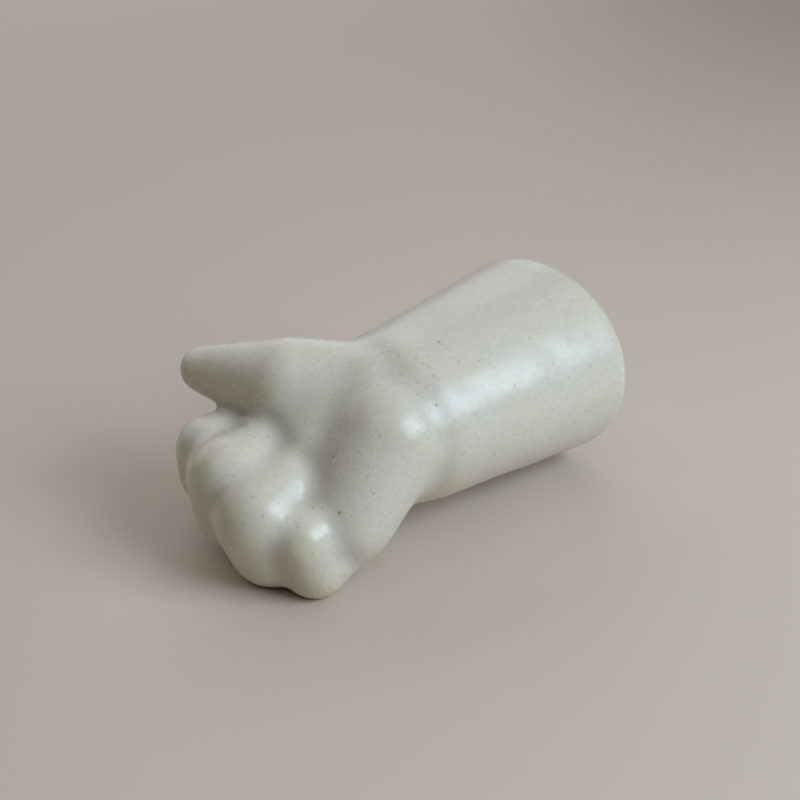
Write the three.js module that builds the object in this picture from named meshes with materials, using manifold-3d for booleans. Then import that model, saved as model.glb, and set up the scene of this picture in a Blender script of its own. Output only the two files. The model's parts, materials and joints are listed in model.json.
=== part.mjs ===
// A small stoneware ring holder: a chubby forearm and fist that lies on the back of its hand.
// Four fingers are curled on the palm, and the thumb stands free as the peg for rings.
// Each member is a lump of clay that is luted to its neighbours across a thin joint.
// Millimetres, +Z up, the fist towards -X and the thumb on the +Y side.
import * as THREE from "three";
import { mergeVertices } from "three/addons/utils/BufferGeometryUtils.js";
import Module from "manifold-3d";

// Forearm: an oval cone that flares to a flat foot and is hollowed from there.
const FOREARM_LENGTH = 43; // wrist crease to foot
const WRIST_DIAMETER = 31;
const BASE_DIAMETER = 41;
const OVALITY = 1.12; // width over height, all along the forearm
const FOOT_ROUNDING = 3;
const MOUTH_ROUNDING = 1;
const WALL = 6;
const HOLLOW_DEPTH = 28;
const WRIST_JOINT = 8; // wrist crease to the joint between palm and forearm

// Pose of the hand at the wrist, in degrees.
const HAND_ROLL = 13.5; // lifts the index side
const HAND_PITCH = 6; // drops the fist below the forearm
const HAND_YAW = -5; // turns the fist towards the thumb side

// Fingers, in the hand's own frame: x from the wrist, y to the thumb, z out of the palm.
// A length runs along the bones, a spread shifts the middle joint and a tuck the tip, both to the thumb
// side, and a curl in degrees adds to every bend.
const FINGERS = {
  index_finger: { knuckle: [-19, 15, -8.5], length: 17, thickness: 10.5, spread: 0.5, tuck: -1, curl: -1.5 },
  middle_finger: { knuckle: [-19.5, 6.5, -8], length: 20, thickness: 13, spread: -1, tuck: 0.5, curl: -1 },
  ring_finger: { knuckle: [-19.5, -2.5, -7.5], length: 19, thickness: 13, spread: -1.5, tuck: 1.5, curl: -12 },
  little_finger: { knuckle: [-17.5, -9.5, -8.5], length: 18.5, thickness: 8.5, spread: -2, tuck: 2, curl: -5 },
};
const BONE_SHARES = [0.35, 0.325, 0.325]; // knuckle to middle joint, to end joint, to tip
const BONE_ANGLES = [-3, 83.5, 183]; // degrees from straight ahead, turning up out of the palm
const FINGER_TAPER = [1.1, 1, 0.94, 0.87]; // share of the thickness at the four joints

// Thumb, and the bones and pad of the palm.
const THUMB_ROOT = [-1, 7.5, 1.5];
const THUMB_JOINT = [-11, 13, 5];
const THUMB_TIP = [-19.5, 27, 3];
const THUMB_ROOT_THICKNESS = 16;
const THUMB_JOINT_THICKNESS = 15.5;
const THUMB_TIP_THICKNESS = 7.5;
const HEEL_START = [-4.5, -5.5, 2.5];
const HEEL_END = [-15, -9.5, -4.5];
const HEEL_START_THICKNESS = 19;
const HEEL_END_THICKNESS = 15;
const WRIST_CORE = [-3, 0, -3.5];
const WRIST_CORE_THICKNESS = 17.5;
const KNUCKLE_THICKNESS = 11.5;
const BACK_REST = [-18, 5, -12]; // fullness of the back, which keeps the holder from rolling
const BACK_REST_THICKNESS = 14.5;

// Widths over which the clay is smoothed where members meet.
const SOFT_FINGERS = 2.2;
const SOFT_JOINTS = 4.5;
const SOFT_KNUCKLES = 2.5;
const SOFT_PALM = 6;
const SOFT_HEEL = 6;
const SOFT_BALL = 9; // ball of the thumb
const SOFT_THUMB = 2.8;
const SOFT_WRIST = 2;
const SOFT_WRIST_END = 8;
const WRIST_OVERLAP = 4; // how far the forearm's form runs into the hand
const SOFT_REST = 1.5; // edge of the flat that the hand rests on

// Joints of the members.
const JOINT_GAP = 0.3;
const JOINT_SPARE = 1.5; // clay that is cut away past a joint
const THUMB_PART = 0.3; // share of the thumb that stays on the palm
const THUMB_CLEARANCE = 2; // reach of the thumb's joint face past the thumb

// Fineness of the surfaces.
const ROUND_SIDES = 56;
const ARC_STEPS = 3;
const PALM_DETAIL = 13;
const THUMB_DETAIL = 8;
const FINGER_DETAIL = 10;

const wasm = await Module();
wasm.setup();

// Pose of the skeleton.
const widthScale = Math.sqrt(OVALITY);
const flare = Math.atan2((BASE_DIAMETER - WRIST_DIAMETER) / 2, FOREARM_LENGTH);
const roundingStart = FOREARM_LENGTH - FOOT_ROUNDING;
const roundingCentre = forearmRadius(roundingStart) - FOOT_ROUNDING / Math.cos(flare);
const axisHeight = (roundingCentre + FOOT_ROUNDING) / widthScale;
const radians = THREE.MathUtils.degToRad;
const handTurn = new THREE.Euler(radians(HAND_ROLL), radians(-HAND_PITCH), radians(HAND_YAW), "ZYX");
const handPose = new THREE.Matrix4().makeRotationFromEuler(handTurn).setPosition(0, 0, axisHeight);
const inHand = (place) => new THREE.Vector3(...place).applyMatrix4(handPose);

function fingerJoints({ knuckle, length, spread, tuck, curl }) {
  const shifts = [spread, (spread + tuck) / 2, tuck];
  let [x, , z] = knuckle;
  const joints = [inHand(knuckle)];
  BONE_SHARES.forEach((share, i) => {
    const angle = radians(BONE_ANGLES[i] + curl);
    x -= Math.cos(angle) * length * share;
    z += Math.sin(angle) * length * share;
    joints.push(inHand([x, knuckle[1] + shifts[i], z]));
  });
  return joints;
}

// Distance to a limb that tapers from one radius to another, negative inside.
function limb(start, end, startRadius, endRadius) {
  const axis = end.clone().sub(start);
  const offset = new THREE.Vector3();
  return (point) => {
    offset.subVectors(point, start);
    const along = THREE.MathUtils.clamp(offset.dot(axis) / axis.lengthSq(), 0, 1);
    const radius = THREE.MathUtils.lerp(startRadius, endRadius, along);
    return offset.addScaledVector(axis, -along).length() - radius;
  };
}

function chain(joints, radii) {
  return joints.slice(1).map((joint, i) => limb(joints[i], joint, radii[i], radii[i + 1]));
}

// The lesser of two distances, with the crease between the forms filled over a width.
function blend(a, b, width) {
  const near = Math.max(width - Math.abs(a - b), 0) / width;
  return Math.min(a, b) - (near * near * width) / 4;
}

function blendAll(forms, width) {
  return (point) => forms.map((form) => form(point)).reduce((a, b) => blend(a, b, width));
}

// Clay members as blended limbs.
const fingers = Object.entries(FINGERS).map(([name, sizes]) => {
  const joints = fingerJoints(sizes);
  const radii = FINGER_TAPER.map((share) => (share * sizes.thickness) / 2);
  return { name, joints, radii, form: blendAll(chain(joints, radii), SOFT_JOINTS) };
});
const wristCore = inHand(WRIST_CORE);
const metacarpals = fingers.map(({ joints }) =>
  limb(wristCore, joints[0], WRIST_CORE_THICKNESS / 2, KNUCKLE_THICKNESS / 2));
const heel = limb(inHand(HEEL_START), inHand(HEEL_END), HEEL_START_THICKNESS / 2, HEEL_END_THICKNESS / 2);
const backRest = limb(wristCore, inHand(BACK_REST), WRIST_CORE_THICKNESS / 2, BACK_REST_THICKNESS / 2);
const thumbJoints = [THUMB_ROOT, THUMB_JOINT, THUMB_TIP].map(inHand);
const thumbRadii = [THUMB_ROOT_THICKNESS, THUMB_JOINT_THICKNESS, THUMB_TIP_THICKNESS].map((d) => d / 2);
const [ballOfThumb, thumb] = chain(thumbJoints, thumbRadii);

const backOfHand = blendAll([...metacarpals, backRest], SOFT_PALM);
const fist = blendAll(fingers.map(({ form }) => form), SOFT_FINGERS);

function forearmRadius(x) {
  return THREE.MathUtils.lerp(WRIST_DIAMETER, BASE_DIAMETER, x / FOREARM_LENGTH) / 2;
}

function forearmForm({ x, y, z }) {
  const side = Math.hypot(y / widthScale, (z - axisHeight) * widthScale) - forearmRadius(x);
  return -blend(-side, x + WRIST_OVERLAP, SOFT_WRIST_END);
}

// The whole skin of the hand, smoothed into the wrist and flat where it rests.
function skin(point) {
  const pads = blend(backOfHand(point), heel(point), SOFT_HEEL);
  const palm = blend(pads, ballOfThumb(point), SOFT_BALL);
  const closed = blend(palm, fist(point), SOFT_KNUCKLES);
  const withThumb = blend(closed, thumb(point), SOFT_THUMB);
  const hand = blend(withThumb, forearmForm(point), SOFT_WRIST);
  return -blend(-hand, point.z, SOFT_REST);
}

// Joints: flat cuts, each a plane that faces out of its member.
const alongHand = new THREE.Vector3();
const acrossHand = new THREE.Vector3();
handPose.extractBasis(alongHand, acrossHand, new THREE.Vector3());

function middle(points) {
  return points.reduce((sum, point) => sum.add(point), new THREE.Vector3()).divideScalar(points.length);
}

function planeAt(normal, point) {
  return new THREE.Plane().setFromNormalAndCoplanarPoint(normal, point);
}

// Where two rows of joints would touch, seen from the first row.
function planeBetween(row, other) {
  const touches = row.joints.map((joint, i) =>
    joint.clone().lerp(other.joints[i], row.radii[i] / (row.radii[i] + other.radii[i])));
  return planeAt(middle(other.joints).sub(middle(row.joints)).normalize(), middle(touches));
}

// Up from the knuckle to close behind the curled tip, and across the hand there.
function knucklePlanes({ joints, radii }) {
  const behindTip = joints.at(-1).clone().addScaledVector(alongHand, radii.at(-1));
  const rise = behindTip.clone().sub(joints[0]);
  return [planeAt(acrossHand.clone().cross(rise).normalize(), joints[0]), planeAt(alongHand, behindTip)];
}

// The index finger and the thumb meet where the finger's tip is nearest to the thumb.
const thumbLine = new THREE.Line3(thumbJoints[1], thumbJoints[2]);
const indexTip = { joints: [fingers[0].joints.at(-1)], radii: [fingers[0].radii.at(-1)] };
const webShare = thumbLine.closestPointToPointParameter(indexTip.joints[0], true);
const thumbSide = {
  joints: [thumbLine.at(webShare, new THREE.Vector3())],
  radii: [THREE.MathUtils.lerp(thumbRadii[1], thumbRadii[2], webShare)],
};

const wristPlane = planeAt(new THREE.Vector3(1, 0, 0), new THREE.Vector3(WRIST_JOINT, 0, 0));
const thumbStart = thumbLine.at(THUMB_PART, new THREE.Vector3());
const thumbAxis = thumbLine.delta(new THREE.Vector3()).normalize();
const thumbReach = THREE.MathUtils.lerp(thumbRadii[1], thumbRadii[2], THUMB_PART) + THUMB_CLEARANCE;
const thumbPlanes = [planeAt(thumbAxis.clone().negate(), thumbStart), planeBetween(thumbSide, indexTip)];
const fingerPlanes = fingers.map((finger, i) => {
  const neighbours = fingers.filter((other, j) => Math.abs(i - j) === 1);
  return [
    ...knucklePlanes(finger),
    planeBetween(indexTip, thumbSide),
    ...neighbours.map((other) => planeBetween(finger, other)),
  ];
});

// Signed distance out of the space that a set of planes encloses.
function outside(planes, point) {
  return Math.max(...planes.map((plane) => plane.distanceToPoint(point)));
}

function outsideThumb(point) {
  const offset = point.clone().sub(thumbStart);
  const fromAxis = offset.addScaledVector(thumbAxis, -offset.dot(thumbAxis)).length();
  return Math.max(outside(thumbPlanes, point), fromAxis - thumbReach);
}

// Solids for cutting.
const CUTTER = 200; // larger than the holder

function toSolid(geometry) {
  geometry.deleteAttribute("normal");
  geometry.deleteAttribute("uv");
  const { attributes, index } = mergeVertices(geometry);
  const vertProperties = new Float32Array(attributes.position.array);
  const triVerts = new Uint32Array(index.array);
  return new wasm.Manifold(new wasm.Mesh({ numProp: 3, vertProperties, triVerts }));
}

function toSurface(solid) {
  const { vertProperties, triVerts } = solid.getMesh();
  const surface = new THREE.BufferGeometry();
  surface.setAttribute("position", new THREE.BufferAttribute(vertProperties, 3));
  surface.setIndex(new THREE.BufferAttribute(triVerts, 1));
  surface.computeVertexNormals();
  return surface;
}

// The space that a set of planes encloses, grown by an offset.
function block(planes, offset) {
  const halves = planes.map(({ normal, constant }) => {
    const half = new THREE.BoxGeometry(CUTTER, CUTTER, CUTTER).translate(0, 0, -CUTTER / 2);
    half.applyQuaternion(new THREE.Quaternion().setFromUnitVectors(new THREE.Vector3(0, 0, 1), normal));
    const shift = normal.clone().multiplyScalar(offset - constant);
    return toSolid(half.translate(shift.x, shift.y, shift.z));
  });
  return halves.reduce((a, b) => a.intersect(b));
}

function thumbBlock(offset) {
  const reach = thumbReach + offset;
  const sleeve = new THREE.CylinderGeometry(reach, reach, CUTTER, ROUND_SIDES);
  sleeve.applyQuaternion(new THREE.Quaternion().setFromUnitVectors(new THREE.Vector3(0, 1, 0), thumbAxis));
  sleeve.translate(thumbStart.x, thumbStart.y, thumbStart.z);
  return toSolid(sleeve).intersect(block(thumbPlanes, offset));
}

// A ball that is blown up from a centre until it meets a form.
const RAY_STEP = 0.25;
const HALVINGS = 16;

function blowUp(centre, form, detail) {
  const ball = new THREE.IcosahedronGeometry(1, detail);
  const places = ball.attributes.position;
  const ray = new THREE.Vector3();
  const point = new THREE.Vector3();
  for (let i = 0; i < places.count; i += 1) {
    ray.fromBufferAttribute(places, i).normalize();
    let inner = 0;
    let outer = RAY_STEP;
    while (form(point.copy(centre).addScaledVector(ray, outer)) < 0) {
      inner = outer;
      outer += RAY_STEP;
    }
    for (let halving = 0; halving < HALVINGS; halving += 1) {
      const half = (inner + outer) / 2;
      if (form(point.copy(centre).addScaledVector(ray, half)) < 0) inner = half;
      else outer = half;
    }
    point.copy(centre).addScaledVector(ray, inner);
    places.setXYZ(i, point.x, point.y, point.z);
  }
  return toSolid(ball);
}

function fingerSolid({ joints }, planes) {
  const form = (point) => Math.max(skin(point), outside(planes, point) - JOINT_SPARE);
  return blowUp(middle(joints.slice(2)), form, FINGER_DETAIL).intersect(block(planes, -JOINT_GAP / 2));
}

function thumbSolid() {
  const form = (point) => Math.max(skin(point), outsideThumb(point) - JOINT_SPARE);
  return blowUp(middle([thumbStart, thumbJoints[2]]), form, THUMB_DETAIL).intersect(thumbBlock(-JOINT_GAP / 2));
}

function palmSolid() {
  const knuckles = middle(fingers.map(({ joints }) => joints[0]));
  const palmCentre = middle([wristCore, thumbJoints[0], inHand(HEEL_END), knuckles]);
  const form = (point) => Math.max(
    skin(point),
    outside([wristPlane], point) - JOINT_SPARE,
    -outsideThumb(point) - JOINT_SPARE,
    ...fingerPlanes.map((planes) => -outside(planes, point) - JOINT_SPARE),
  );
  const whole = blowUp(palmCentre, form, PALM_DETAIL).intersect(block([wristPlane], -JOINT_GAP / 2));
  const cuts = [thumbBlock(JOINT_GAP / 2), ...fingerPlanes.map((planes) => block(planes, JOINT_GAP / 2))];
  return cuts.reduce((clay, cut) => clay.subtract(cut), whole);
}

// The forearm is a revolved profile, drawn as radius and place along the axis, then made oval.
function forearmSurface() {
  const start = WRIST_JOINT + JOINT_GAP / 2;
  const mouth = forearmRadius(FOREARM_LENGTH) - WALL;
  const hollowEnd = FOREARM_LENGTH - HOLLOW_DEPTH;
  const hollowRadius = forearmRadius(hollowEnd) - WALL;
  const profile = new THREE.Path();
  profile.moveTo(0, start);
  profile.lineTo(forearmRadius(start), start);
  profile.absarc(roundingCentre, roundingStart, FOOT_ROUNDING, -flare, Math.PI / 2, false);
  profile.absarc(mouth + MOUTH_ROUNDING, FOREARM_LENGTH - MOUTH_ROUNDING, MOUTH_ROUNDING, Math.PI / 2, Math.PI, false);
  profile.absarc(0, hollowEnd + hollowRadius, hollowRadius, 0, -Math.PI / 2, true);
  const turned = new THREE.LatheGeometry(profile.getPoints(ARC_STEPS), ROUND_SIDES);
  turned.rotateZ(-Math.PI / 2);
  turned.scale(1, widthScale, 1 / widthScale);
  turned.translate(0, 0, axisHeight);
  return turned;
}

const GLAZE = { color: 0xd8d5c9, roughness: 0.3, metalness: 0 };
const WARM_GLAZE = { color: 0xdcd7c4, roughness: 0.3, metalness: 0 };

const holder = new THREE.Group();

function addPiece(name, surface, finish) {
  const piece = new THREE.Mesh(surface, new THREE.MeshStandardMaterial(finish));
  piece.name = name;
  holder.add(piece);
}

addPiece("forearm", forearmSurface(), GLAZE);
addPiece("palm", toSurface(palmSolid()), GLAZE);
addPiece("thumb", toSurface(thumbSolid()), GLAZE);
fingers.forEach((finger, i) => {
  addPiece(finger.name, toSurface(fingerSolid(finger, fingerPlanes[i])), WARM_GLAZE);
});

// The origin is under the middle of the holder, on the surface that it lies on.
const box = new THREE.Box3().setFromObject(holder);
const centre = box.getCenter(new THREE.Vector3());
holder.position.set(-centre.x, -centre.y, -box.min.z);

export default holder;
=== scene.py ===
"""Looks of a glazed stoneware ring holder, a forearm and fist lying palm up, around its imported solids.

The hand is raised as one skin of clay, as the fired object is, and cut at the slip joints into its members.
"""

import json
import math
from typing import NamedTuple

import bpy
import numpy as np
from mathutils import Euler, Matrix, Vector

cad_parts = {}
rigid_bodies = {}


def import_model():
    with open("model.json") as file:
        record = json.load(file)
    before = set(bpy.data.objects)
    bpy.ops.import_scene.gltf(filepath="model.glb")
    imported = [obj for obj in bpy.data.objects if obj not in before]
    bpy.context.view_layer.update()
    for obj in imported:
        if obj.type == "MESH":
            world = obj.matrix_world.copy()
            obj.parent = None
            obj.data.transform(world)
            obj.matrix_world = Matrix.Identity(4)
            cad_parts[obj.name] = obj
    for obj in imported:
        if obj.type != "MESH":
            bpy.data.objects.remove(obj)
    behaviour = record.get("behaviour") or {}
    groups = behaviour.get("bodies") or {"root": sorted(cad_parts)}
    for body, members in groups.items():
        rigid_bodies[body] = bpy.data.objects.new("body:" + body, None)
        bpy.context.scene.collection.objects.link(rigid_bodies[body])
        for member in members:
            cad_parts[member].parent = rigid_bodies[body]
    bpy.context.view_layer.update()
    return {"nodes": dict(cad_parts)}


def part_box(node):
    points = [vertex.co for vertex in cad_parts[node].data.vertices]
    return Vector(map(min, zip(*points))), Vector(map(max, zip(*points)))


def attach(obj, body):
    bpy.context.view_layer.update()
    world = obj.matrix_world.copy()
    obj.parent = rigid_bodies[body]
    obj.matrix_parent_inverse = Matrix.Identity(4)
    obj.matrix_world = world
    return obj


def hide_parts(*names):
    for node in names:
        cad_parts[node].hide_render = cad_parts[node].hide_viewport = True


bl_info = {
    "name": "Ring Holder Hand",
    "version": (1, 0, 0),
    "blender": (4, 5, 0),
    "location": "3D View > Sidebar > Ring Hand",
    "description": "Models and glazes a stoneware hand that holds rings",
    "category": "Object",
}

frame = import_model()

MM = 0.001
STEM_LOW, STEM_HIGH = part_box("forearm")
STEM_AXIS = (STEM_LOW + STEM_HIGH) / 2
FOOT_X = STEM_HIGH.x

# The stem, in millimetres.
STEM_LENGTH = 43
STEM_FLARE = 5 / STEM_LENGTH  # growth of the radius along the stem
STEM_OVERLAP = 4  # stretch of the stem's clay inside the hand
STEM_ROUNDING = 7  # radius of the stem's end inside the hand
WRIST = Vector((FOOT_X - STEM_LENGTH * MM, STEM_AXIS.y, STEM_AXIS.z))  # in metres

# The hand's skeleton, in millimetres in its own frame: x from the wrist, y to the thumb, z out of the palm.


class Finger(NamedTuple):
    """A curled finger."""

    knuckle: tuple
    length: float  # along the bones
    thickness: float
    spread: float  # shift of the middle joint to the thumb side
    tuck: float  # shift of the tip to the thumb side
    curl: float  # degrees added to every bend


FINGERS = {
    "index_finger": Finger((-17.9, 15, -9.2), 19.5, 12.8, 0.5, -0.5, -1.5),
    "middle_finger": Finger((-19.5, 6.5, -8), 20, 15.3, -1, 0.5, -1),
    "ring_finger": Finger((-19.5, -2.5, -7.5), 19, 15.3, -1.5, 1.5, -12),
    "little_finger": Finger((-17.3, -10, -8.9), 17.5, 10.7, -2, 1.2, -5),
}
MEMBERS = (*FINGERS, "thumb")
BONE_SHARES = (0.35, 0.325, 0.325)  # knuckle to middle joint, to end joint, to tip
BONE_ANGLES = (-3, 83.5, 183)  # degrees from straight ahead, turning up out of the palm
FINGER_TAPER = (1.08, 1, 0.95, 0.81)  # share of the thickness at the four joints

# Places of joints, each with the thickness of the clay there.
WRIST_CORE = (-3, 0, -3.5), 23
KNUCKLE_THICKNESS = 12.3
BACK_REST = (-18, 5, -12), 14.5
HEEL_START, HEEL_END = ((-4, -5.2, 3.2), 19.6), ((-15, -9.8, -4.8), 16.2)
HOLLOW_START, HOLLOW_END = ((-1, 2.5, 6.5), 14), ((-14, 2, 0.8), 11.4)  # middle of the palm
BALL_START, BALL_END = ((-1.5, 6, 4), 17), ((-11, 13, 5), 16.9)
THUMB_TIP = (-19.5, 27, 3), 8

# The working of the clay, in metres where it isn't a share or a count.
PALM_GRAIN = 0.5 * MM  # spacing of the points of the palm while it is kneaded
FIST_GRAIN = 0.4 * MM  # spacing of the points of the fist while it is luted
SMOOTHING = 0.5  # share of the way to the middle of its neighbours that a point goes in one round
LUTING_ROUNDS = 4  # rounds of smoothing after each swelling and shrinking
FOOT_GUARD = 1.5 * MM  # stretch at the foot that the sponge nearly spares
FOOT_FADE = 4 * MM  # stretch from there over which the sponging grows to its full strength
FOOT_SHARE = 0.12  # share of the sponging and of the touch that the foot still gets
HALF_JOINT = 0.15 * MM  # half of the gap between the solids of two members
SEAT_SPARE = 0.005 * MM  # keeps the faces of a seat off those of the member in it
BOX_ROOM = 1 * MM  # room round a member's box
NEAR = 0.1 * MM  # distance within which a face lies at an end
FACING = 0.99  # least cosine of the angle between a face's normal and the way it faces
SAME_POINT, SAME_PLANE = 1e-6, 1e-7  # tolerances of welding and of cutting

# The glaze, with its unevenness in grains to the metre and its lengths in metres.
CLOUD_GRAINS, RIPPLE_GRAINS, MOTTLE_GRAINS, GRIT_GRAINS = 75, 260, 1100, 2600
SPECK_WANDER_GRAINS, WIPE_WANDER_GRAINS = 2500, 240
SPECK_WANDER, WIPE_WANDER = 0.5 * MM, 0.5 * MM  # how far the edges of the specks and of the bare foot wander
SPECK_EDGE = 0.35  # soft share of a speck's radius
WIPE_START, WIPE_END = -0.15 * MM, 0.05 * MM  # from the foot, where the glaze gives way to bare clay
BROWN_EDGE, BROWN_SHARE = 0.6 * MM, 0.6  # width and strength of the clay's colour in the edge of the glaze
THIN, EVEN, POOLED_AND_SHADED = 0.25, 0.5, 0.8  # readings of the pooling on swellings, level clay and in hollows, where the glaze pools and shade is painted in
CLOUD_DEPTH = 0.35  # share of the pooling that the clouds add
MOTTLE_SHARE, GRIT_SHARE = 0.4, 0.5  # most of the darker colour in the mottle and in the bare clay
CLOUD_GLOSS, SPECK_MATTING, BARE_MATTING = 0.03, 0.12, 0.6  # changes of the roughness
RIPPLE_HEIGHT, SPECK_PIT, GRIT_HEIGHT = 0.7, 0.1, 1.5  # shares of the bump's height
GLAZE_IOR = 1.52


class SpeckLayer(NamedTuple):
    """A scatter of iron specks."""

    spacing: float  # of the cells, in metres
    share: float  # of the cells that hold a speck
    size: float  # largest radius, in metres
    strength: float


SPECK_LAYERS = (
    SpeckLayer(4 * MM, 0.6, 0.35 * MM, 0.6),
    SpeckLayer(1.9 * MM, 0.8, 0.38 * MM, 0.2),
    SpeckLayer(0.8 * MM, 0.8, 0.24 * MM, 0.2),
)


class Lamp(NamedTuple):
    """A soft rectangular light that faces the object."""

    azimuth: float  # degrees round from the near side
    elevation: float  # degrees above the floor
    distance: float  # in metres
    size: tuple  # width and height, in metres
    share: float  # of the window's power
    colour: tuple


LAMPS = {
    "window": Lamp(20, 34, 0.5, (0.3, 0.28), 1, (0.69, 0.84, 1)),
    "back_light": Lamp(165, 28, 1.2, (2, 1), 3.4, (0.87, 0.92, 1)),
    "ceiling": Lamp(0, 88, 1, (1.5, 1.5), 1.9, (1, 0.96, 0.92)),
}
LAMP_AIM = Vector((0, 0, 20 * MM))
FLOOR_RADIUS = 3  # metres


class RingHandClay(bpy.types.PropertyGroup):
    """Pose of the hand and sizes of the clay skin."""

    roll: bpy.props.FloatProperty(
        name="Roll", description="Lift of the index side", default=math.radians(13.5), subtype="ANGLE")
    pitch: bpy.props.FloatProperty(
        name="Pitch", description="Drop of the fist below the stem", default=math.radians(6), subtype="ANGLE")
    yaw: bpy.props.FloatProperty(
        name="Yaw", description="Turn of the fist away from the thumb", default=math.radians(-5),
        subtype="ANGLE")
    grain: bpy.props.FloatProperty(
        name="Grain", description="Spacing of the points of the skin", default=0.35 * MM, min=0.2 * MM,
        unit="LENGTH", precision=5)
    kneading: bpy.props.FloatProperty(
        name="Kneading", description="Radius that fills the creases between the lumps of the palm",
        default=5 * MM, unit="LENGTH", precision=5)
    wrist: bpy.props.FloatProperty(
        name="Wrist", description="Radius that fills the crease between the palm and the stem",
        default=5 * MM, unit="LENGTH", precision=5)
    slip: bpy.props.FloatProperty(
        name="Slip", description="Radius that fills the creases between the fingers and the palm",
        default=2.2 * MM, unit="LENGTH", precision=5)
    web: bpy.props.FloatProperty(
        name="Web", description="Radius that fills the crease round the thumb",
        default=0.8 * MM, unit="LENGTH", precision=5)
    sponging: bpy.props.IntProperty(
        name="Sponging", description="Rounds of smoothing with a wet sponge", default=10, min=0)
    glaze_coat: bpy.props.FloatProperty(
        name="Glaze coat", description="Thickness that the glaze gives back to the sponged clay",
        default=0.1 * MM, unit="LENGTH", precision=5)
    waviness: bpy.props.FloatProperty(
        name="Waviness", description="Height of the uneven touch of the maker's hands", default=0.35 * MM,
        unit="LENGTH", precision=5)
    touch: bpy.props.FloatProperty(
        name="Touch", description="Width of the uneven touch of the maker's hands", default=9 * MM,
        unit="LENGTH", precision=5)
    pooling: bpy.props.IntProperty(
        name="Pooling", description="Rounds over which hollows are told from swellings", default=110, min=1)


class RingHandGlaze(bpy.types.PropertyGroup):
    """Colours of the glaze and the clay under it."""

    body: bpy.props.FloatVectorProperty(
        name="Glaze", description="Colour of the glaze at its usual depth", subtype="COLOR", size=4,
        default=(0.73, 0.68, 0.565, 1))
    thin: bpy.props.FloatVectorProperty(
        name="Thin glaze", description="Warmer colour on swellings, where the glaze runs thin",
        subtype="COLOR", size=4, default=(0.76, 0.69, 0.52, 1))
    # Pooled glaze in hollows, darkened further as painted shade of the hollows.
    pooled_and_shaded: bpy.props.FloatVectorProperty(
        name="Pooled glaze and painted shade", description="Greyer colour in hollows, where the glaze pools", subtype="COLOR",
        size=4, default=(0.58, 0.545, 0.435, 1))
    specks: bpy.props.FloatVectorProperty(
        name="Specks", description="Colour of the iron specks", subtype="COLOR", size=4,
        default=(0.1, 0.085, 0.06, 1))
    biscuit: bpy.props.FloatVectorProperty(
        name="Bare clay", description="Colour of the fired clay of the foot", subtype="COLOR", size=4,
        default=(0.56, 0.44, 0.32, 1))
    grit: bpy.props.FloatVectorProperty(
        name="Grit", description="Darker colour of the grit in the bare clay", subtype="COLOR", size=4,
        default=(0.36, 0.26, 0.18, 1))
    gloss: bpy.props.FloatProperty(
        name="Roughness", description="Roughness of the glaze", default=0.29, min=0, max=1, subtype="FACTOR")


class RingHandStage(bpy.types.PropertyGroup):
    """Camera, light and floor."""

    azimuth: bpy.props.FloatProperty(
        name="Azimuth", description="Side that the camera looks from", default=math.radians(-44),
        subtype="ANGLE")
    elevation: bpy.props.FloatProperty(
        name="Elevation", description="Height that the camera looks from", default=math.radians(28),
        subtype="ANGLE")
    distance: bpy.props.FloatProperty(
        name="Distance", description="From the camera to the point it looks at", default=191.7 * MM,
        unit="LENGTH", precision=4)
    aim: bpy.props.FloatVectorProperty(
        name="Aim", description="Point that the camera looks at, from the floor under the foot",
        default=(-39.16 * MM, 0, 22.29 * MM), subtype="XYZ", unit="LENGTH", precision=5)
    lens: bpy.props.FloatProperty(
        name="Lens", description="Focal length in millimetres", default=49.5, unit="CAMERA")
    floor: bpy.props.FloatVectorProperty(
        name="Floor", description="Colour of the floor", subtype="COLOR", size=4,
        default=(0.66, 0.55, 0.45, 1))
    window: bpy.props.FloatProperty(
        name="Window", description="Power of the soft light of the window", default=2.1, unit="POWER")
    room: bpy.props.FloatProperty(
        name="Room", description="Strength of the light from all round", default=0.01)
    room_tint: bpy.props.FloatVectorProperty(
        name="Room tint", description="Colour of the light from all round", subtype="COLOR", size=4,
        default=(0.95, 0.97, 1, 1))


# Selecting and changing objects


def pick(*objects):
    """Selects these objects alone, the last of them active."""
    bpy.ops.object.select_all(action="DESELECT")
    for obj in objects:
        obj.select_set(True)
    bpy.context.view_layer.objects.active = objects[-1]


def active():
    """The active object."""
    return bpy.context.view_layer.objects.active


def copy_of(name, original):
    """An object of that name, with a copy of the original's mesh and nothing else of it."""
    pick(original)
    bpy.ops.object.duplicate()
    bpy.ops.object.parent_clear(type="CLEAR_KEEP_TRANSFORM")
    copy = active()
    copy.name = copy.data.name = name
    for key in list(copy.keys()):
        del copy[key]
    return copy


def throw_away(obj):
    """Deletes an object."""
    pick(obj)
    bpy.ops.object.delete()


def finish_with(obj, kind, **settings):
    """Adds a modifier to the object and applies it."""
    pick(obj)
    modifier = obj.modifiers.new(kind.title(), kind)
    for key, value in settings.items():
        setattr(modifier, key, value)
    bpy.ops.object.modifier_apply(modifier=modifier.name)


def edit_faces(obj, wanted):
    """Enters edit mode with only those faces selected that a test wants."""
    pick(obj)
    bpy.ops.object.mode_set(mode="EDIT")
    bpy.ops.mesh.select_mode(type="FACE")
    bpy.ops.mesh.select_all(action="DESELECT")
    bpy.ops.object.mode_set(mode="OBJECT")
    for face in obj.data.polygons:
        face.select = wanted(face)
    bpy.ops.object.mode_set(mode="EDIT")


def cut_away(obj, point, normal):
    """Cuts off what lies beyond a plane, on the side its normal points to, and closes the cut."""
    pick(obj)
    bpy.ops.object.mode_set(mode="EDIT")
    bpy.ops.mesh.select_all(action="SELECT")
    bpy.ops.mesh.bisect(
        plane_co=point, plane_no=normal, use_fill=True, clear_outer=True, threshold=SAME_PLANE)
    bpy.ops.object.mode_set(mode="OBJECT")


def read(items, what, width):
    """An array of one property of a mesh's points or faces."""
    values = np.empty(len(items) * width)
    items.foreach_get(what, values)
    return values.reshape(-1, width)


# Lumps of clay


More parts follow.
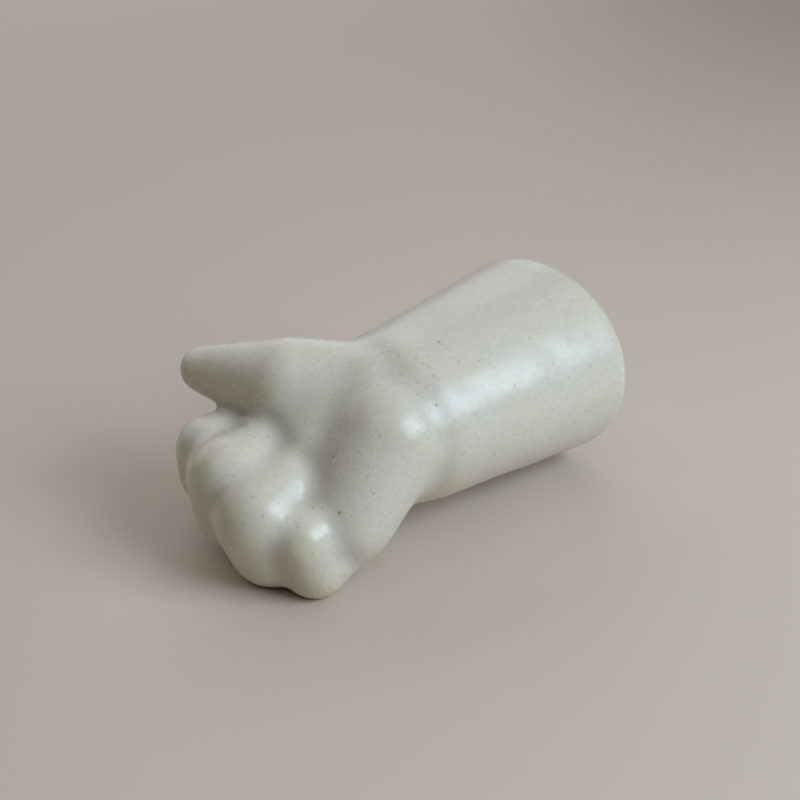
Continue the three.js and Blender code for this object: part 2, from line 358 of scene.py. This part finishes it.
def joint(place):
    """A place of the hand's skeleton in the part's frame."""
    pose = bpy.context.scene.ring_hand_clay
    turn = Euler((pose.roll, -pose.pitch, pose.yaw)).to_matrix()
    return WRIST + turn @ (Vector(place) * MM)


def limb(start, end):
    """A tapered limb of clay between two joints, each a place and a thickness."""
    bpy.ops.object.select_all(action="DESELECT")
    balls = []
    for place, thickness in (start, end):
        radius = thickness / 2 * MM
        bpy.ops.mesh.primitive_ico_sphere_add(subdivisions=5, radius=radius, location=joint(place))
        balls.append(active())
    pick(*balls)
    bpy.ops.object.join()
    bpy.ops.object.transform_apply(location=True, rotation=True, scale=True)
    bpy.ops.object.mode_set(mode="EDIT")
    bpy.ops.mesh.select_all(action="SELECT")
    bpy.ops.mesh.convex_hull()
    bpy.ops.object.mode_set(mode="OBJECT")
    return active()


def finger_limbs(finger):
    """The three limbs of a curled finger, from the knuckle to the tip."""
    x, y, z = finger.knuckle
    shifts = (finger.spread, (finger.spread + finger.tuck) / 2, finger.tuck)
    joints = [((x, y, z), FINGER_TAPER[0] * finger.thickness)]
    for share, angle, taper, shift in zip(BONE_SHARES, BONE_ANGLES, FINGER_TAPER[1:], shifts):
        bend = math.radians(angle + finger.curl)
        x -= math.cos(bend) * finger.length * share
        z += math.sin(bend) * finger.length * share
        joints.append(((x, y + shift, z), taper * finger.thickness))
    return [limb(*pair) for pair in zip(joints, joints[1:])]


def luted(lumps, radius, grain):
    """Lumps as one, with the creases between them filled to a radius by swelling and shrinking again."""
    pick(*lumps)
    bpy.ops.object.join()
    lump = active()
    finish_with(lump, "REMESH", mode="VOXEL", voxel_size=grain)
    for swelling in (radius, -radius):
        finish_with(lump, "DISPLACE", strength=swelling, mid_level=0)
        finish_with(lump, "REMESH", mode="VOXEL", voxel_size=grain)
        finish_with(lump, "SMOOTH", factor=SMOOTHING, iterations=LUTING_ROUNDS)
    return lump


def stem_lump():
    """A copy of the stem that runs on into the hand with a rounded end."""
    stem = copy_of("stem lump", frame["nodes"]["forearm"])
    finish_with(stem, "WELD", merge_threshold=SAME_POINT)
    start = STEM_LOW.x
    reach = start - (FOOT_X - (STEM_LENGTH + STEM_OVERLAP) * MM)
    edit_faces(stem, lambda face: face.normal.x < -FACING and face.center.x < start + NEAR)
    bpy.ops.mesh.extrude_region_move(TRANSFORM_OT_translate={"value": (-reach, 0, 0)})
    radius = (STEM_HIGH.z - STEM_LOW.z) / 2
    taper = 1 - STEM_FLARE * reach / radius
    bpy.ops.transform.resize(
        value=(1, taper, taper), center_override=(start - reach, STEM_AXIS.y, STEM_AXIS.z))
    bpy.ops.mesh.region_to_loop()
    bpy.ops.mesh.bevel(offset=STEM_ROUNDING * MM, segments=6, affect="EDGES")
    bpy.ops.object.mode_set(mode="OBJECT")
    return stem


def palm_lump(sizes):
    """The bones, the heel, the middle and the ball of the palm, kneaded into each other."""
    limbs = [limb(WRIST_CORE, (finger.knuckle, KNUCKLE_THICKNESS)) for finger in FINGERS.values()]
    limbs += [limb(WRIST_CORE, BACK_REST), limb(HEEL_START, HEEL_END), limb(HOLLOW_START, HOLLOW_END)]
    limbs += [limb(BALL_START, BALL_END)]
    return luted(limbs, sizes.kneading, PALM_GRAIN)


def fist_lump(sizes):
    """The stem, the palm and the curled fingers, luted to each other."""
    lumps = [luted([stem_lump(), palm_lump(sizes)], sizes.wrist, FIST_GRAIN)]
    for finger in FINGERS.values():
        lumps += finger_limbs(finger)
    return luted(lumps, sizes.slip, FIST_GRAIN)


def sponge(skin, sizes):
    """Smooths the skin, coats it with glaze and gives it the uneven touch of the maker's hands.

    The sponge and the touch nearly spare the foot, so that it stays flat.
    """
    from_foot = FOOT_X - FOOT_GUARD - read(skin.data.vertices, "co", 3)[:, 0]
    soft = skin.vertex_groups.new(name="soft")
    for point, weight in enumerate(np.clip(from_foot / FOOT_FADE, FOOT_SHARE, 1)):
        soft.add((point,), weight, "REPLACE")
    finish_with(skin, "SMOOTH", factor=SMOOTHING, iterations=sizes.sponging, vertex_group="soft")
    finish_with(skin, "DISPLACE", strength=sizes.glaze_coat, mid_level=0)
    touch = bpy.data.textures.new("touch of the hands", "CLOUDS")
    touch.noise_scale = sizes.touch
    touch.noise_depth = 1
    finish_with(skin, "DISPLACE", strength=sizes.waviness, mid_level=0.5, texture=touch,
                texture_coords="LOCAL", vertex_group="soft")


def note_pooling_and_shade(skin, sizes):
    """Writes at each point of the skin how far it lies in a hollow, by a copy that is smoothed for long; the
    glaze reads it for pooling and for painted shade in hollows.
    """
    even = copy_of("even skin", skin)
    finish_with(even, "SMOOTH", factor=SMOOTHING, iterations=sizes.pooling)
    rise = read(even.data.vertices, "co", 3) - read(skin.data.vertices, "co", 3)
    depth = (rise * read(skin.data.vertices, "normal", 3)).sum(axis=1) / MM
    grey = np.clip(EVEN + depth, 0, 1)
    pooling = skin.data.attributes.new("pooling", "FLOAT_COLOR", "POINT")
    pooling.data.foreach_set("color", np.column_stack([grey, grey, grey, np.ones_like(grey)]).ravel())
    throw_away(even)


# The slip joints


def flat_faces(name, least_area=8 * MM * MM, same_turn=0.9999, same_level=0.02 * MM):
    """The large flat faces of a node as (point, normal) pairs, the largest first."""
    faces = frame["nodes"][name].data.polygons
    normals, centres, areas = read(faces, "normal", 3), read(faces, "center", 3), read(faces, "area", 1)[:, 0]
    left = np.ones(len(areas), bool)
    found = []
    for start in np.argsort(-areas):
        if not left[start]:
            continue
        level = (centres - centres[start]) @ normals[start]
        same = left & (normals @ normals[start] > same_turn) & (np.abs(level) < same_level)
        left &= ~same
        if areas[same].sum() > least_area:
            found.append((areas[same].sum(), Vector(centres[start]), Vector(normals[start])))
    return [(point, normal) for _, point, normal in sorted(found, key=lambda face: -face[0])]


def joints_of(name, spare=0.0):
    """The middles of the slip joints round a node, as planes whose normals point out of it."""
    reach = HALF_JOINT + spare
    return [(point + normal * reach, normal) for point, normal in flat_faces(name)]


def limits_of(name):
    """The six sides of a node's box with some room round it, as planes that point outwards."""
    low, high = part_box(name)
    for axis in range(3):
        out = Vector([float(i == axis) for i in range(3)])
        yield high + out * BOX_ROOM, out
        yield low - out * BOX_ROOM, -out


def wrist_joint():
    """The plane of the joint between the palm and the forearm, which points out of the forearm."""
    return min(joints_of("forearm"), key=lambda plane: plane[1].x)


def seat_block(name):
    """A block that holds the place of a member, cut off at its slip joints."""
    bpy.ops.object.select_all(action="DESELECT")
    low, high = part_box(name)
    bpy.ops.mesh.primitive_cube_add(size=1, location=(low + high) / 2)
    block = active()
    block.scale = high - low + Vector((2 * BOX_ROOM, 2 * BOX_ROOM, 2 * BOX_ROOM))
    bpy.ops.object.transform_apply(location=True, rotation=True, scale=True)
    for plane in joints_of(name, SEAT_SPARE):
        cut_away(block, *plane)
    return block


def clay():
    """The skin of the whole hand."""
    return bpy.data.objects["clay"]


def dress(piece, node, material):
    """Gives a member the skin's normals and pooling, its material, and its node's place in the part."""
    finish_with(
        piece, "DATA_TRANSFER", object=clay(), use_loop_data=True, data_types_loops={"CUSTOM_NORMAL"},
        loop_mapping="POLYINTERP_NEAREST", use_vert_data=True, data_types_verts={"COLOR_VERTEX"},
        vert_mapping="POLYINTERP_NEAREST")
    piece.data.materials.clear()
    piece.data.materials.append(material)
    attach(piece, "root")
    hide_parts(node)


def cut_member(name, piece_name, material):
    """Cuts a member of the hand from the skin along its joints."""
    piece = copy_of(piece_name, clay())
    for plane in [*limits_of(name), *joints_of(name)]:
        cut_away(piece, *plane)
    dress(piece, name, material)


# Materials


def add(tree, kind, inputs=None, **settings):
    """A node with its settings, whose inputs take values or other nodes' outputs."""
    made = tree.nodes.new("ShaderNode" + kind)
    made.location = (220 * (len(tree.nodes) % 8), -260 * (len(tree.nodes) // 8))
    for key, value in settings.items():
        setattr(made, key, value)
    for socket, value in (inputs or {}).items():
        if isinstance(value, bpy.types.NodeSocket):
            tree.links.new(value, made.inputs[socket])
        else:
            made.inputs[socket].default_value = value
    return made


def ramp(tree, value, low, high, bottom=0.0, top=1.0):
    """A smooth step from bottom to top, as a value goes from low to high."""
    return add(tree, "MapRange", {
        "Value": value, "From Min": low, "From Max": high, "To Min": bottom, "To Max": top,
    }, interpolation_type="SMOOTHSTEP").outputs[0]


def maths(tree, operation, first, second):
    """The result of an operation on two values."""
    return add(tree, "Math", {0: first, 1: second}, operation=operation).outputs[0]


def vectors(tree, operation, inputs):
    """The result of an operation on places."""
    return add(tree, "VectorMath", inputs, operation=operation).outputs[0]


def mix(tree, share, first, second):
    """A mix of two colours."""
    return add(tree, "Mix", {0: share, 6: first, 7: second}, data_type="RGBA").outputs[2]


def noise(tree, place, grains, output="Fac", **inputs):
    """A noise with so many grains to the metre."""
    return add(tree, "TexNoise", {"Vector": place, "Scale": grains, **inputs}).outputs[output]


def new_group(name, inputs, outputs):
    """An empty node group with named sockets, and the sockets of its inner ends."""
    tree = bpy.data.node_groups.new(name, "ShaderNodeTree")
    for socket, kind in inputs.items():
        tree.interface.new_socket(socket, in_out="INPUT", socket_type="NodeSocket" + kind)
    for socket, kind in outputs.items():
        tree.interface.new_socket(socket, in_out="OUTPUT", socket_type="NodeSocket" + kind)
    start, end = tree.nodes.new("NodeGroupInput"), tree.nodes.new("NodeGroupOutput")
    return tree, start.outputs, end.inputs


def speck_layer(tree, place, layer):
    """A mask of round specks in some of the cells of a scatter."""
    cells = add(tree, "TexVoronoi", {"Vector": place, "Scale": 1 / layer.spacing, "Randomness": 1})
    chance = add(tree, "SeparateColor", {0: cells.outputs["Color"]}).outputs[0]
    growth = ramp(tree, chance, 1 - layer.share, 1)
    radius = maths(tree, "MULTIPLY", growth, layer.size / layer.spacing)
    inside = maths(tree, "SUBTRACT", radius, cells.outputs["Distance"])
    return ramp(tree, inside, 0, SPECK_EDGE * layer.size / layer.spacing)


def speck_mask(tree, place):
    """How dark the specks of all layers are, with outlines that wander."""
    shift = noise(tree, place, SPECK_WANDER_GRAINS, "Color")
    shift = vectors(tree, "SUBTRACT", {0: shift, 1: (0.5, 0.5, 0.5)})
    shift = vectors(tree, "SCALE", {0: shift, "Scale": SPECK_WANDER})
    bent = vectors(tree, "ADD", {0: place, 1: shift})
    specks = 0.0
    for layer in SPECK_LAYERS:
        shade = maths(tree, "MULTIPLY", speck_layer(tree, bent, layer), layer.strength)
        specks = maths(tree, "MAXIMUM", specks, shade)
    return specks


def glaze_group():
    """Colour, roughness and height of a speckled glaze that pools in hollows, with painted shade in the
    colour of the hollows.
    """
    if "Speckled glaze" in bpy.data.node_groups:
        return bpy.data.node_groups["Speckled glaze"]
    tree, given, put = new_group(
        "Speckled glaze",
        {"Glaze": "Color", "Thin glaze": "Color", "Pooled glaze and painted shade": "Color", "Specks": "Color",
         "Roughness": "Float"},
        {"Color": "Color", "Roughness": "Float", "Height": "Float"})
    place = add(tree, "TexCoord").outputs["Object"]
    depth = add(tree, "Attribute", attribute_name="pooling").outputs["Fac"]
    clouds = noise(tree, place, CLOUD_GRAINS, Detail=3)
    mottle = noise(tree, place, MOTTLE_GRAINS, Detail=3, Roughness=0.7)
    ripple = noise(tree, place, RIPPLE_GRAINS, Detail=2)
    specks = speck_mask(tree, place)

    drift = maths(tree, "MULTIPLY", maths(tree, "SUBTRACT", clouds, 0.5), CLOUD_DEPTH)
    depth = maths(tree, "ADD", depth, drift)
    colour = mix(tree, ramp(tree, depth, EVEN, THIN), given["Glaze"], given["Thin glaze"])
    # Painted shade: the hollows darken towards the pooled glaze colour, partly glaze that pools and partly
    # shade painted in.
    colour = mix(tree, ramp(tree, depth, EVEN, POOLED_AND_SHADED), colour, given["Pooled glaze and painted shade"])
    colour = mix(tree, ramp(tree, mottle, 0.35, 0.7, top=MOTTLE_SHARE), colour, given["Pooled glaze and painted shade"])
    tree.links.new(mix(tree, specks, colour, given["Specks"]), put["Color"])

    sheen = ramp(tree, clouds, 0.3, 0.7, bottom=-CLOUD_GLOSS, top=CLOUD_GLOSS)
    rough = maths(tree, "ADD", given["Roughness"], sheen)
    rough = maths(tree, "ADD", rough, maths(tree, "MULTIPLY", specks, SPECK_MATTING))
    tree.links.new(rough, put["Roughness"])

    swell = maths(tree, "MULTIPLY", ripple, RIPPLE_HEIGHT)
    pits = maths(tree, "MULTIPLY", specks, SPECK_PIT)
    tree.links.new(maths(tree, "SUBTRACT", swell, pits), put["Height"])
    return tree


def wiped_foot(tree, colour, rough, height):
    """The glaze's colour, roughness and height with the foot wiped bare, down to the gritty clay."""
    colours = bpy.context.scene.ring_hand_glaze
    place = add(tree, "TexCoord").outputs["Object"]
    along = add(tree, "SeparateXYZ", {0: place}).outputs[0]
    wander = maths(tree, "MULTIPLY", noise(tree, place, WIPE_WANDER_GRAINS, Detail=2), WIPE_WANDER)
    grit = noise(tree, place, GRIT_GRAINS, Detail=5)
    line = maths(tree, "ADD", along, wander)
    bare = ramp(tree, line, FOOT_X + WIPE_START, FOOT_X + WIPE_END)
    edge = ramp(tree, line, FOOT_X - BROWN_EDGE, FOOT_X, top=BROWN_SHARE)
    gritty = mix(tree, ramp(tree, grit, 0.35, 0.65, top=GRIT_SHARE), colours.biscuit, colours.grit)
    colour = mix(tree, bare, mix(tree, edge, colour, colours.biscuit), gritty)
    rough = maths(tree, "ADD", rough, maths(tree, "MULTIPLY", bare, BARE_MATTING))
    grains = maths(tree, "MULTIPLY", maths(tree, "MULTIPLY", bare, grit), GRIT_HEIGHT)
    return colour, rough, maths(tree, "ADD", height, grains)


def new_material(name):
    """A material and its shader."""
    material = bpy.data.materials.new(name)
    material.use_nodes = True
    return material, material.node_tree.nodes["Principled BSDF"]


def glaze_material(name, bare_foot=False):
    """The speckled glaze, with the foot of the stem wiped bare of it where asked."""
    if name in bpy.data.materials:
        return bpy.data.materials[name]
    colours = bpy.context.scene.ring_hand_glaze
    material, shader = new_material(name)
    tree = material.node_tree
    glaze = add(tree, "Group", {
        "Glaze": colours.body, "Thin glaze": colours.thin, "Pooled glaze and painted shade": colours.pooled_and_shaded,
        "Specks": colours.specks, "Roughness": colours.gloss}, node_tree=glaze_group())
    colour, rough, height = (glaze.outputs[output] for output in ("Color", "Roughness", "Height"))
    if bare_foot:
        colour, rough, height = wiped_foot(tree, colour, rough, height)
    bump = add(tree, "Bump", {"Height": height, "Strength": 0.35, "Distance": 0.15 * MM}).outputs[0]
    for output, socket in ((colour, "Base Color"), (rough, "Roughness"), (bump, "Normal")):
        tree.links.new(output, shader.inputs[socket])
    shader.inputs["IOR"].default_value = GLAZE_IOR
    return material


# The stage


def outwards(azimuth, elevation):
    """The way out from the object at two angles, and the turn of what looks back along it."""
    level = math.cos(elevation)
    out = Vector((math.sin(azimuth) * level, -math.cos(azimuth) * level, math.sin(elevation)))
    return out, (math.pi / 2 - elevation, 0, azimuth)


def set_camera(scene):
    """The camera that looks at the palm."""
    stage = scene.ring_hand_stage
    out, turn = outwards(stage.azimuth, stage.elevation)
    aim = Vector((FOOT_X, STEM_AXIS.y, 0)) + Vector(stage.aim)
    bpy.ops.object.camera_add(location=aim + out * stage.distance, rotation=turn)
    camera = active()
    camera.name = "camera"
    camera.data.lens = stage.lens
    camera.data.sensor_width = 36
    camera.data.clip_start = 10 * MM
    scene.camera = camera


def lay_floor(colour):
    """The pale floor that the holder lies on."""
    bpy.ops.mesh.primitive_circle_add(vertices=96, radius=FLOOR_RADIUS, fill_type="NGON")
    floor = active()
    floor.name = "floor"
    material, shader = new_material("pale floor")
    shader.inputs["Base Color"].default_value = colour
    shader.inputs["Roughness"].default_value = 0.6
    floor.data.materials.append(material)


def hang_lamp(name, lamp, window_power):
    """An area light that faces the object."""
    out, turn = outwards(math.radians(lamp.azimuth), math.radians(lamp.elevation))
    bpy.ops.object.light_add(type="AREA", location=out * lamp.distance + LAMP_AIM, rotation=turn)
    light = active()
    light.name = name
    light.data.shape = "RECTANGLE"
    light.data.size, light.data.size_y = lamp.size
    light.data.energy = window_power * lamp.share
    light.data.color = lamp.colour


def light_room(scene):
    """The faint light from all round."""
    world = bpy.data.worlds.new("soft room")
    scene.world = world
    world.use_nodes = True
    room = world.node_tree.nodes["Background"]
    room.inputs["Color"].default_value = scene.ring_hand_stage.room_tint
    room.inputs["Strength"].default_value = scene.ring_hand_stage.room


# The steps


class RINGHAND_OT_clay(bpy.types.Operator):
    """Raises the seamless skin of clay that the members are cut from"""

    bl_idname = "ring_hand.clay"
    bl_label = "Clay Skin"

    def execute(self, context):
        sizes = context.scene.ring_hand_clay
        fist = fist_lump(sizes)
        skin = luted([limb(BALL_END, THUMB_TIP), fist], sizes.web, sizes.grain)
        skin.name = skin.data.name = "clay"
        skin.data.materials.clear()
        cut_away(skin, (0, 0, 0), (0, 0, -1))
        sponge(skin, sizes)
        pick(skin)
        bpy.ops.object.shade_smooth()
        note_pooling_and_shade(skin, sizes)
        return {"FINISHED"}


class RINGHAND_OT_forearm(bpy.types.Operator):
    """Cuts the hollow stem from the skin at the wrist"""

    bl_idname = "ring_hand.forearm"
    bl_label = "Forearm"

    def execute(self, context):
        stem = copy_of("stem", clay())
        cut_away(stem, *wrist_joint())
        dress(stem, "forearm", glaze_material("stem glaze", bare_foot=True))
        return {"FINISHED"}


class RINGHAND_OT_palm(bpy.types.Operator):
    """Cuts the palm from the skin, and the seats of the thumb and the fingers from the palm"""

    bl_idname = "ring_hand.palm"
    bl_label = "Palm"

    def execute(self, context):
        palm = copy_of("palm_of_hand", clay())
        point, normal = wrist_joint()
        cut_away(palm, point, -normal)
        for name in MEMBERS:
            block = seat_block(name)
            finish_with(palm, "BOOLEAN", operation="DIFFERENCE", object=block, solver="MANIFOLD")
            throw_away(block)
        dress(palm, "palm", glaze_material("hand glaze"))
        return {"FINISHED"}


class RINGHAND_OT_thumb(bpy.types.Operator):
    """Cuts the thumb, the peg for rings, from the skin"""

    bl_idname = "ring_hand.thumb"
    bl_label = "Thumb"

    def execute(self, context):
        cut_member("thumb", "thumb_peg", glaze_material("hand glaze"))
        return {"FINISHED"}


class RINGHAND_OT_fingers(bpy.types.Operator):
    """Cuts the four curled fingers from the skin"""

    bl_idname = "ring_hand.fingers"
    bl_label = "Fingers"

    def execute(self, context):
        for name in FINGERS:
            cut_member(name, name.replace("finger", "curl"), glaze_material("finger glaze"))
        return {"FINISHED"}


class RINGHAND_OT_stage(bpy.types.Operator):
    """Sets the camera, the soft light and the pale floor"""

    bl_idname = "ring_hand.stage"
    bl_label = "Stage"

    def execute(self, context):
        stage = context.scene.ring_hand_stage
        bpy.ops.object.select_all(action="DESELECT")
        set_camera(context.scene)
        lay_floor(stage.floor)
        for name, lamp in LAMPS.items():
            hang_lamp(name, lamp, stage.window)
        light_room(context.scene)
        context.scene.view_settings.view_transform = "Standard"
        return {"FINISHED"}


class RINGHAND_PT_panel(bpy.types.Panel):
    """Steps of the ring holder"""

    bl_label = "Ring Hand"
    bl_idname = "RINGHAND_PT_panel"
    bl_space_type = "VIEW_3D"
    bl_region_type = "UI"
    bl_category = "Ring Hand"

    def draw(self, context):
        for name, group in GROUPS.items():
            box = self.layout.box()
            for setting in group.__annotations__:
                box.prop(getattr(context.scene, name), setting)
        for operator in OPERATORS:
            self.layout.operator(operator.bl_idname)


GROUPS = {"ring_hand_clay": RingHandClay, "ring_hand_glaze": RingHandGlaze, "ring_hand_stage": RingHandStage}
OPERATORS = (RINGHAND_OT_clay, RINGHAND_OT_forearm, RINGHAND_OT_palm, RINGHAND_OT_thumb, RINGHAND_OT_fingers,
             RINGHAND_OT_stage)
CLASSES = (*GROUPS.values(), *OPERATORS, RINGHAND_PT_panel)


def register():
    """Adds the classes and the scene's settings."""
    for kind in CLASSES:
        bpy.utils.register_class(kind)
    for name, group in GROUPS.items():
        setattr(bpy.types.Scene, name, bpy.props.PointerProperty(type=group))


def unregister():
    """Takes the scene's settings and the classes away."""
    for name in GROUPS:
        delattr(bpy.types.Scene, name)
    for kind in reversed(CLASSES):
        bpy.utils.unregister_class(kind)


def main():
    """Makes the pieces in order."""
    register()
    bpy.ops.ring_hand.clay()
    bpy.ops.ring_hand.forearm()
    bpy.ops.ring_hand.palm()
    bpy.ops.ring_hand.thumb()
    bpy.ops.ring_hand.fingers()
    throw_away(clay())
    bpy.ops.ring_hand.stage()


if __name__ == "__main__":
    main()
